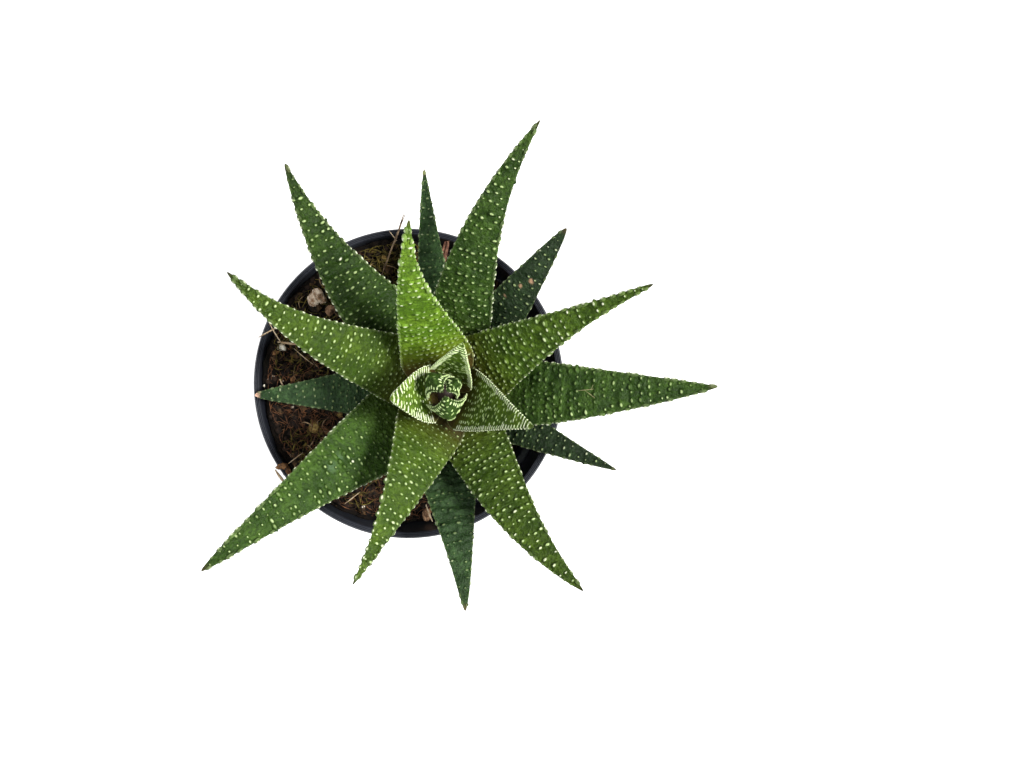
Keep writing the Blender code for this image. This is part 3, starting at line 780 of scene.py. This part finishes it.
def pot_finish():
    """Satin black plastic with moulding grain, fine scuffs, and lighter patches."""
    material, tree, shader, place = start_material("black plastic", 0.4, Specular_IOR_Level=0.5)
    grain = add_noise(tree, place, 2600.0, 2.0)
    haze = add_noise(tree, place, 60.0, 5.0, 0.6)
    around = add(tree, "ShaderNodeMapping", {"Vector": place, "Scale": (1.0, 1.0, 14.0)}).outputs[0]
    scuff = add_noise(tree, around, 240.0, 6.0, 0.75, 1.5)
    colour = add_mix(tree, add_range(tree, haze, 0.35, 0.7), (0.014, 0.016, 0.023), (0.030, 0.034, 0.045))
    colour = add_mix(tree, add_range(tree, scuff, 0.62, 0.74, 0.0, 0.5), colour, (0.085, 0.085, 0.095))
    height = add(tree, "ShaderNodeSeparateXYZ", {"Vector": place}).outputs[2]
    # wear and painted highlight: the top of the rim is made lighter grey, partly scuffed ridges and partly the light
    # that the lip catches.
    worn_and_highlit = add_range(tree, height, (POT_HEIGHT - 0.16) * MM, POT_HEIGHT * MM, 0.0, 0.5)
    colour = add_mix(tree, worn_and_highlit, colour, (0.105, 0.11, 0.13))
    tree.links.new(colour, shader.inputs["Base Color"])
    tree.links.new(add_range(tree, haze, 0.3, 0.75, 0.33, 0.48), shader.inputs["Roughness"])
    bump(tree, shader, (grain, 0.00004, 0.4), (scuff, 0.0001, 0.15))
    return material


def make_pot():
    pot = new_object("nursery_pot", lathe("nursery_pot", pot_profile(), 180))
    ring = (HUB_RADIUS + BASE_RADIUS - FOOT_WIDTH) / 2
    drills = []
    for i in range(DRAIN_HOLES):
        angle = 2 * math.pi * i / DRAIN_HOLES
        work = bmesh.new()
        spot = Matrix.Translation(Vector((ring * math.cos(angle), ring * math.sin(angle), FOOT_HEIGHT)) * MM)
        size = {"radius1": DRAIN_RADIUS * MM, "radius2": DRAIN_RADIUS * MM, "depth": DRILL_LENGTH * MM}
        bmesh.ops.create_cone(work, cap_ends=True, segments=32, matrix=spot, **size)
        drills.append(new_object(f"drill_{i}", mesh_from(work, "drill")))
        cut = pot.modifiers.new("drain", "BOOLEAN")
        cut.object, cut.solver = drills[-1], "EXACT"
    pot = settled(pot)
    for drill in drills:
        bpy.data.objects.remove(drill)
    pot.data.shade_smooth()
    pot.data.set_sharp_from_angle(angle=math.radians(50))
    pot.data.materials.append(pot_finish())
    placed(pot, "pot", "pot")


# ---- soil ----

SOIL_HIGH, SOIL_FALL, SOIL_FALL_AZIMUTH, SOIL_BUMP = 1.8, 16.5, -12.0, 0.7
rough_ground, fine_ground = wavy(5, 5.5), wavy(6, 1.9, 14)


def soil_height(x, y):
    """Top of the soil: a slope from the high side to the low side, with mounds, clods and crumbs on it."""
    toward = math.radians(SOIL_FALL_AZIMUTH)
    along = (x * math.cos(toward) + y * math.sin(toward)) / LIP_RADIUS
    share = np.clip((along + 0.55) / 1.5, 0.0, 1.0)
    fall = SOIL_FALL * share * share * (3 - 2 * share)
    mounds = np.sin(0.31 * x + 1.0) * np.sin(0.27 * y + 0.4) + 0.5 * np.sin(0.55 * x - 0.4 * y)
    ground = POT_HEIGHT - SOIL_HIGH - fall + SOIL_BUMP * (mounds - 0.6)
    return ground + 0.75 * rough_ground(x, y) + 0.35 * fine_ground(x, y)


def inside_radius(z):
    return np.where(z > LEDGE + 0.3, collar_radius(z), body_radius(np.minimum(z, LEDGE))) - 0.3


def soil_mesh():
    """The root ball: its open top, and its sides and foot pressed to the pot's inside."""
    rings, around = 110, 260
    angles = 2 * math.pi * np.arange(around) / around
    points = []
    reach = np.full(around, 38.0)
    for _ in range(6):
        reach = inside_radius(soil_height(reach * np.cos(angles), reach * np.sin(angles)))
    for i in range(1, rings + 1):
        radius = reach * (i / rings) ** 0.75
        x, y = radius * np.cos(angles), radius * np.sin(angles)
        points.append(np.column_stack([x, y, soil_height(x, y)]))
    edge = points[-1]
    floor = FOOT_HEIGHT + WALL + 0.3
    for share in np.linspace(0, 1, 14)[1:]:
        z = edge[:, 2] + (floor - edge[:, 2]) * share
        radius = np.minimum(inside_radius(z), reach)
        points.append(np.column_stack([radius * np.cos(angles), radius * np.sin(angles), z]))
    count = len(points)
    flat = np.vstack(points + [[(0, 0, float(soil_height(0.0, 0.0)))], [(0, 0, floor)]])
    faces = loop_faces(count, around)
    last = (count - 1) * around
    for k in range(around):
        n = (k + 1) % around
        faces.append((n, k, len(flat) - 2))
        faces.append((last + k, last + n, len(flat) - 1))
    return outward(new_mesh("root_ball", flat, faces))


def soil_finish(name, dark, brown, moss, speck):
    """Peat and bark compost in near-black and brown patches, with moss and light specks, all darkened as painted shade.
    """
    material, tree, shader, place = start_material(name, 0.9, Specular_IOR_Level=0.2)
    clods = add_noise(tree, place, 260.0, 8.0, 0.7)
    crumbs = add_noise(tree, place, 1400.0, 6.0, 0.7)
    green = add_noise(tree, place, 75.0, 3.0)
    colour = add_mix(tree, add_range(tree, clods, 0.35, 0.7), dark, brown)
    colour = add_mix(tree, add_range(tree, green, 0.5, 0.66, 0.0, 0.6), colour, moss)
    colour = add_mix(tree, add_range(tree, crumbs, 0.62, 0.74, 0.0, 0.8), colour, speck)
    tree.links.new(colour, shader.inputs["Base Color"])
    bump(tree, shader, (crumbs, 0.0006, 0.9), (clods, 0.0015, 0.8))
    return material


def crumb_mesh(name, seed, squash=0.7):
    """One ragged crumb, about a unit across."""
    work = bmesh.new()
    bmesh.ops.create_icosphere(work, subdivisions=1, radius=0.5)
    bmesh.ops.subdivide_edges(work, edges=work.edges, cuts=1)
    lump = wavy(seed, 0.9)
    for vert in work.verts:
        x, y, z = vert.co
        grow = 1 + 0.45 * float(lump(x, y, z))
        vert.co = Vector((x * grow * 1.2, y * grow, z * grow * squash))
    return mesh_from(work, name)


def scatter_tree():
    """Strews copies of a shape over the upward faces that come in."""
    tree, given, result = tree_with_inputs(
        "scatter",
        ("Shape", "NodeSocketObject", None),
        ("Density", "NodeSocketFloat", 1.0),
        ("Smallest", "NodeSocketFloat", 0.0005),
        ("Largest", "NodeSocketFloat", 0.002),
        ("Seed", "NodeSocketInt", 0),
        ("Finish", "NodeSocketMaterial", None),
    )
    sockets = {"Mesh": given["Geometry"], "Density": given["Density"], "Seed": given["Seed"]}
    where = add(tree, "GeometryNodeDistributePointsOnFaces", sockets)
    shape = add(tree, "GeometryNodeObjectInfo", {"Object": given["Shape"]}).outputs["Geometry"]
    turn = add(tree, "FunctionNodeRandomValue", {"Seed": given["Seed"]}, data_type="FLOAT_VECTOR")
    turn.inputs[1].default_value = (6.28, 6.28, 6.28)
    size = add(tree, "FunctionNodeRandomValue", data_type="FLOAT")
    tree.links.new(given["Smallest"], size.inputs[2])
    tree.links.new(given["Largest"], size.inputs[3])
    tree.links.new(given["Seed"], size.inputs["Seed"])
    sockets = {"Points": where.outputs[0], "Instance": shape, "Rotation": turn.outputs[0], "Scale": size.outputs[1]}
    grown = add(tree, "GeometryNodeInstanceOnPoints", sockets).outputs[0]
    return end_tree(tree, grown, given["Finish"], result)


def strand_tree():
    """Gives thickness to loose strands, from the thickness stored along them."""
    tree, given, result = tree_with_inputs(
        "strands",
        ("Sides", "NodeSocketInt", 5),
        ("Finish", "NodeSocketMaterial", None),
    )
    curve = add(tree, "GeometryNodeMeshToCurve", {"Mesh": given["Geometry"]}).outputs[0]
    thick = add(tree, "GeometryNodeInputNamedAttribute", {"Name": "thick"}, data_type="FLOAT").outputs[0]
    profile = add(tree, "GeometryNodeCurvePrimitiveCircle", {"Resolution": given["Sides"], "Radius": 1.0})
    sockets = {"Curve": curve, "Profile Curve": profile.outputs[0], "Scale": thick, "Fill Caps": True}
    tube = add(tree, "GeometryNodeCurveToMesh", sockets).outputs[0]
    return end_tree(tree, tube, given["Finish"], result)


def strands_mesh(name, lines, thickness):
    """Loose edges for each line of points, with a thickness that narrows to both ends."""
    points, edges, thick = [], [], []
    for line, width in zip(lines, thickness):
        first = len(points)
        points += [tuple(p) for p in line]
        edges += [(first + i, first + i + 1) for i in range(len(line) - 1)]
        share = np.linspace(0, 1, len(line))
        thick += (width * (0.35 + 0.65 * np.sin(math.pi * np.clip(share, 0.06, 0.94))) * MM).tolist()
    mesh = bpy.data.meshes.new(name)
    mesh.from_pydata((np.array(points) * MM).tolist(), edges, [])
    mesh.attributes.new("thick", "FLOAT", "POINT").data.foreach_set("value", np.array(thick, np.float32))
    return mesh


def litter_lines(seed, count, length, thickness, lift, sectors):
    """Wandering strands that lie on the soil inside the given sectors."""
    rng = np.random.default_rng(seed)
    lines, widths = [], []
    for i in range(count):
        azimuth, spread, inner, outer = sectors[i % len(sectors)]
        angle = math.radians(azimuth + rng.uniform(-spread, spread))
        radius = math.sqrt(rng.uniform(inner * inner, outer * outer))
        x, y = radius * math.cos(angle), radius * math.sin(angle)
        heading, bend = rng.uniform(0, 2 * math.pi), rng.normal(0, 0.16)
        span = rng.uniform(*length)
        steps = 9
        hop = rng.uniform(0.3, lift)
        line = []
        for k in range(steps):
            share = k / (steps - 1)
            far = math.hypot(x, y)
            wall = min(LITTER_LIMIT, float(inside_radius(soil_height(x, y))) - WALL_CLEARANCE)
            if far > wall:
                x, y = x * wall / far, y * wall / far
            z = float(soil_height(x, y)) + 0.15 + hop * math.sin(math.pi * share) + rng.normal(0, 0.06)
            line.append((x, y, z))
            heading += bend + rng.normal(0, 0.14)
            x += span / steps * math.cos(heading)
            y += span / steps * math.sin(heading)
        lines.append(line)
        widths.append(rng.uniform(*thickness))
    return lines, widths


def plain_finish(name, dark, light, scale, roughness, depth=0.0002):
    """A dry matt surface that varies between two colours."""
    material, tree, shader, place = start_material(name, roughness, Specular_IOR_Level=0.3)
    noise = add_noise(tree, place, scale, 5.0, 0.65)
    colour = add_mix(tree, add_range(tree, noise, 0.35, 0.65), dark, light)
    tree.links.new(colour, shader.inputs["Base Color"])
    bump(tree, shader, (noise, depth, 0.8))
    return material


def strand_piece(name, lines, widths, strands, sides, finish, slot, *nodes):
    """One finished piece of loose strands."""
    item = new_object(name, strands_mesh(name, lines, widths))
    use_tree(item, strands, Sides=sides, Finish=finish)
    placed(settled(item), slot, *nodes)


def lumps_piece(name, work, finish, slot, *nodes):
    """One finished piece from a bmesh that is done with."""
    mesh = mesh_from(work, name)
    mesh.shade_smooth()
    mesh.materials.append(finish)
    placed(new_object(name, mesh), slot, *nodes)


# Where loose strands lie, as (azimuth, half width, inner radius, outer radius).
PEAT_SECTORS = ((185, 30, 20, 38), (212, 22, 22, 38), (265, 20, 26, 38), (0, 180, 10, 38))
MOSS_SECTORS = ((106, 22, 22, 38), (150, 26, 24, 38), (228, 22, 24, 37), (100, 24, 28, 38))
OPEN_SECTORS = ((185, 40, 14, 38), (225, 25, 20, 38), (140, 25, 22, 38), (100, 20, 26, 38), (0, 180, 8, 38))
LITTER_LIMIT, WALL_CLEARANCE = 38.6, 0.5
# Straws that lie apart, each as (one end, other end, height of its bow, thickness).
LOOSE_STRAWS = (
    ((-41.0, 12.6, 72.3), (-35.9, 15.4, 71.6), 0.4, 0.22),
    ((-38.5, 17.2, 71.8), (-34.8, 10.9, 71.6), 0.6, 0.16),
    ((-35.9, 11.4, 71.2), (-29.8, 10.6, 71.4), 0.3, 0.34),
    ((-31.5, 9.6, 71.0), (-26.2, 5.2, 71.0), 1.2, 0.12),
    ((-35.4, 1.2, 71.2), (-34.0, -1.4, 71.4), 0.2, 0.22),
    ((-37.2, -1.0, 71.2), (-35.2, -4.2, 71.2), 0.3, 0.18),
    ((-33.0, -22.0, 71.4), (-29.0, -19.0, 71.2), 0.8, 0.14),
    ((-36.4, -23.6, 72.4), (-33.2, -27.6, 72.9), 0.4, 0.42),
    ((-18.0, -33.5, 69.0), (-13.5, -30.0, 69.3), 1.0, 0.14),
    ((-5.2, 41.6, 72.9), (-3.2, 39.0, 72.1), 0.2, 0.13),
    ((-20.5, 30.5, 70.6), (-14.0, 33.8, 70.6), 1.0, 0.14),
    ((4.6, -34.0, 66.2), (6.4, -38.6, 66.6), 0.5, 0.3),
)
# Bits that lie apart, each kind as (name, dark, light, then x, y, size and lift of each bit).
LOOSE_BITS = (
    (
        "white_grains", (0.55, 0.48, 0.36), (0.82, 0.78, 0.68),
        (-38.9, 0.9, 0.9, 0.3), (-39.8, -0.7, 0.7, 0.3), (-32.3, -19.9, 1.1, 0.4), (-12.8, -34.2, 0.9, 0.4),
        (-22.5, -30.6, 0.8, 0.3),
    ),
    (
        "yellow_chips", (0.14, 0.08, 0.02), (0.42, 0.30, 0.10),
        (-19.3, -8.6, 2.0, 0.5), (-6.9, 34.5, 2.3, 0.5), (-25.7, -11.9, 3.4, 0.3), (-9.6, 31.2, 1.6, 0.4),
        (-29.2, 18.2, 1.4, 0.3),
    ),
    (
        "orange_chips", (0.07, 0.03, 0.012), (0.34, 0.17, 0.07),
        (-31.2, 2.7, 1.5, 0.5), (-32.0, 1.0, 1.7, 0.6), (-32.8, -0.6, 1.3, 0.5), (-36.5, 8.6, 1.6, 0.3),
        (-33.4, -24.0, 3.6, 1.2), (-34.6, -22.6, 2.4, 1.0), (5.2, -36.4, 1.8, 1.2),
    ),
)


def open_top(mesh, clear):
    """The upward faces of the root ball that lie at least this far from the pot's wall."""
    top = mesh.copy()
    work = bmesh.new()
    work.from_mesh(top)
    left_out = []
    for face in work.faces:
        x, y, z = face.calc_center_median() / MM
        if face.normal.z < 0.25 or z < 40 or math.hypot(x, y) > float(inside_radius(z)) - clear:
            left_out.append(face)
    bmesh.ops.delete(work, geom=left_out, context="FACES")
    work.to_mesh(top)
    work.free()
    return top


# Near-black patches, brown clods, moss, and light specks, all made darker as painted shade from the leaves and the pot
# wall.
SHADED_COMPOST_COLOURS = (0.0015, 0.001, 0.0007), (0.010, 0.005, 0.0025), (0.006, 0.005, 0.001), (0.09, 0.045, 0.02)
# Crumbs, as (name, seed, number to a square metre, smallest, largest, dark, light, size of the mottling).
CRUMB_SETS = (
    ("peat_crumbs", 11, 300000.0, 0.7, 2.2, (0.002, 0.0012, 0.0008), (0.022, 0.010, 0.005), 700.0),
    ("bark_chips", 12, 40000.0, 1.6, 3.4, (0.004, 0.003, 0.002), (0.10, 0.055, 0.022), 500.0),
    ("perlite_grains", 13, 5000.0, 0.5, 1.3, (0.45, 0.38, 0.28), (0.75, 0.70, 0.60), 900.0),
)
# Strands, as (name, seed, count, lengths, thicknesses, lift, sectors, dark, light).
STRAND_SETS = (
    ("peat_fibres", 21, 700, (3.0, 9.0), (0.05, 0.12), 1.6, PEAT_SECTORS, (0.012, 0.005, 0.003), (0.20, 0.085, 0.036)),
    ("moss_strands", 22, 620, (2.5, 7.0), (0.08, 0.2), 2.0, MOSS_SECTORS, (0.008, 0.006, 0.001), (0.15, 0.115, 0.02)),
    ("straws", 23, 70, (3.0, 7.0), (0.08, 0.2), 1.8, OPEN_SECTORS, (0.10, 0.06, 0.03), (0.40, 0.28, 0.16)),
)


def bowed(start, end, bow):
    """Nine points from one end of a straw to the other, lifted in the middle."""
    shares = np.linspace(0, 1, 9)
    line = np.array(start) + np.outer(shares, np.subtract(end, start))
    line[:, 2] += bow * np.sin(math.pi * shares)
    return line


def make_soil():
    ball = new_object("root_ball", soil_mesh())
    ball.data.materials.append(soil_finish("compost", *SHADED_COMPOST_COLOURS))
    scatter, strands = scatter_tree(), strand_tree()
    for name, seed, density, small, large, dark, light, scale in CRUMB_SETS:
        shape = new_object("shape", crumb_mesh("shape", seed))
        item = new_object(name, open_top(ball.data, 0.45 * large))
        finish = plain_finish(name, dark, light, scale, 0.9)
        sizes = {"Smallest": small * MM, "Largest": large * MM}
        use_tree(item, scatter, Shape=shape, Density=density, Seed=seed, Finish=finish, **sizes)
        placed(settled(item), "soil")
        bpy.data.objects.remove(shape)
    for name, seed, count, length, thickness, lift, sectors, dark, light in STRAND_SETS:
        lines, widths = litter_lines(seed, count, length, thickness, lift, sectors)
        strand_piece(name, lines, widths, strands, 5, plain_finish(name, dark, light, 500.0, 0.75), "soil")
    lines = [bowed(start, end, bow) for start, end, bow, _ in LOOSE_STRAWS]
    finish = plain_finish("dry straw", (0.38, 0.25, 0.14), (0.72, 0.58, 0.40), 600.0, 0.7)
    strand_piece("loose_straws", lines, [straw[3] for straw in LOOSE_STRAWS], strands, 6, finish, "soil")
    for name, dark, light, *bits in LOOSE_BITS:
        work = bmesh.new()
        for index, (x, y, size, lift) in enumerate(bits):
            lump = crumb_mesh("lump", 90 + index)
            spot = Vector((x, y, float(soil_height(x, y)) + lift)) * MM
            lump.transform(Matrix.Translation(spot) @ Matrix.Rotation(index * 1.3, 4, "Z") @ Matrix.Scale(size * MM, 4))
            work.from_mesh(lump)
        lumps_piece(name, work, plain_finish(name, dark, light, 900.0, 0.85, 0.0004), "soil")
    placed(ball, "soil", "soil")
    return strands


# ---- stones, dead leaf and twig ----


def make_stones():
    finishes = {
        "pale": plain_finish("pumice", (0.30, 0.16, 0.08), (0.95, 0.78, 0.60), 700.0, 0.9, 0.0010),
        "brown": plain_finish("brown stone", (0.08, 0.04, 0.02), (0.36, 0.21, 0.12), 750.0, 0.85, 0.0006),
        "white": plain_finish("perlite", (0.55, 0.45, 0.30), (0.88, 0.85, 0.74), 800.0, 0.85, 0.0004),
    }
    for index, key in enumerate(("pale", "brown", "white", "brown")):
        node = f"stone_{index + 1}"
        low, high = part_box(node)
        centre = (Vector(low) + Vector(high)) / 2
        size = (Vector(high) - Vector(low)) / 2
        work = bmesh.new()
        bmesh.ops.create_icosphere(work, subdivisions=5, radius=1.0)
        lump, pit, grit = wavy(50 + index, 1.7), wavy(60 + index, 0.55, 14), wavy(70 + index, 0.22, 16)
        for vert in work.verts:
            x, y, z = vert.co
            grow = 0.88 + 0.15 * float(lump(x, y, z)) + 0.03 * float(grit(x, y, z))
            grow -= 0.13 * max(0.0, float(pit(x, y, z)))
            vert.co = centre + Vector((x * size.x, y * size.y, z * size.z)) * grow
        lumps_piece(f"{node}_rough", work, finishes[key], "stone_brown" if key == "brown" else "stone_pale", node)


def make_dead_matter(strands):
    """The shrivelled leaf and the dry twig, split into the strands that they have dried to."""
    rng = np.random.default_rng(31)
    sets = (
        ("dried_leaf", ((7.0, 27.5, 68.9), (8.3, 31.5, 71.0), (9.6, 35.5, 71.6), (10.4, 39.0, 70.9)), 1.2, 9, 0.30,
         (0.06, 0.022, 0.014), (0.26, 0.13, 0.08)),
        ("twig", ((-7.5, 30.0, 70.2), (-5.0, 35.5, 74.5), (-2.7, 40.5, 77.5), (-0.9, 45.0, 80.0)), 0.10, 3, 0.22,
         (0.05, 0.03, 0.02), (0.30, 0.21, 0.13)),
    )
    for node, route, spread, count, width, dark, light in sets:
        lines, widths = [], []
        shares = np.linspace(0, 1, 14)
        base = np.array([[np.interp(q * 3, range(4), [p[i] for p in route]) for i in range(3)] for q in shares])
        for _ in range(count):
            aside = rng.uniform(-spread, spread)
            wobble = np.cumsum(rng.normal(0, 0.05, (14, 3)), axis=0)
            drift = np.column_stack([aside * (1 - 0.5 * shares), 0 * shares, rng.uniform(-0.15, 0.15) + 0 * shares])
            lines.append(base + wobble + drift)
            widths.append(width * rng.uniform(0.7, 1.1))
        finish = plain_finish(node, dark, light, 700.0, 0.8)
        strand_piece(f"{node}_strands", lines, widths, strands, 7, finish, "dead_plant", node)


def make_dry_fibre(strands):
    """A forked dry fibre that has fallen on one of the middle leaves."""
    leaf = next(item for item in LEAVES if item.name == "middle_leaf_3")
    top = leaf_surface(leaf, np.array([0.56]), np.array([0.0]), np.array([0.0]))[0]
    forks = (((-2.2, 0.5), (1.6, 0.9)), ((-0.6, 0.6), (2.0, -1.4)), ((0.9, 0.8), (1.5, 2.0)))
    lines = []
    for start, end in forks:
        line = []
        for q in np.linspace(0, 1, 7):
            x, y = (a + (b - a) * q for a, b in zip(start, end))
            line.append((top[0] + x, top[1] + y, top[2] + 0.25 * x + 0.35 + 0.4 * math.sin(math.pi * q)))
        lines.append(line)
    finish = plain_finish("dry fibre", (0.13, 0.12, 0.05), (0.30, 0.28, 0.14), 600.0, 0.7)
    strand_piece("dry_fibre", lines, (0.10, 0.08, 0.07), strands, 6, finish, "dead_plant")


# ---- floor, light and camera ----


FLOOR_REACH = 6000


def make_floor():
    corners = [(x * FLOOR_REACH, y * FLOOR_REACH, 0) for x, y in ((-1, -1), (1, -1), (1, 1), (-1, 1))]
    floor = new_object("floor", new_mesh("floor", corners, [(0, 1, 2, 3)]))
    floor.location.z = -0.0002
    material = bpy.data.materials.new("floor")
    material.use_nodes = True
    shader = material.node_tree.nodes["Principled BSDF"]
    shader.inputs["Base Color"].default_value = (0.6, 0.6, 0.6, 1.0)
    shader.inputs["Roughness"].default_value = 0.9
    shader.inputs["Emission Color"].default_value = (1.0, 1.0, 1.0, 1.0)
    shader.inputs["Emission Strength"].default_value = 0.8
    floor.data.materials.append(material)


def soft_light(name, azimuth, elevation, distance, size, energy, colour):
    """A square soft box that faces the plant."""
    data = bpy.data.lights.new(name, "AREA")
    data.shape, data.size, data.energy, data.color = "SQUARE", size, energy, colour
    light = bpy.data.objects.new(name, data)
    bpy.context.scene.collection.objects.link(light)
    turn, rise = math.radians(azimuth), math.radians(elevation)
    away = Vector((math.cos(turn) * math.cos(rise), math.sin(turn) * math.cos(rise), math.sin(rise)))
    light.location = Vector((0, 0, 0.09)) + away * distance
    light.rotation_euler = away.to_track_quat("Z", "Y").to_euler()


def make_studio():
    world = bpy.data.worlds.new("studio")
    world.use_nodes = True
    world.node_tree.nodes["Background"].inputs["Color"].default_value = (1.0, 1.0, 1.0, 1.0)
    world.node_tree.nodes["Background"].inputs["Strength"].default_value = 0.36
    bpy.context.scene.world = world
    soft_light("key", 2, 52, 0.9, 0.22, 13.5, (1.0, 0.985, 0.94))
    soft_light("fill", 200, 68, 1.0, 0.5, 4.0, (0.95, 0.98, 1.0))
    data = bpy.data.cameras.new("camera")
    data.sensor_width = 36.0
    data.lens = 33.4
    data.shift_x, data.shift_y = 0.0565, -0.0112
    data.clip_start = 0.01
    camera = bpy.data.objects.new("camera", data)
    camera.location = (0.0125, 0.003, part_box("pot")[1][2] + 0.26)
    bpy.context.scene.collection.objects.link(camera)
    bpy.context.scene.camera = camera
    bpy.context.scene.view_settings.view_transform = "Standard"


make_leaves()
make_stem()
make_pot()
strand_maker = make_soil()
make_stones()
make_dead_matter(strand_maker)
make_dry_fibre(strand_maker)
make_floor()
make_studio()
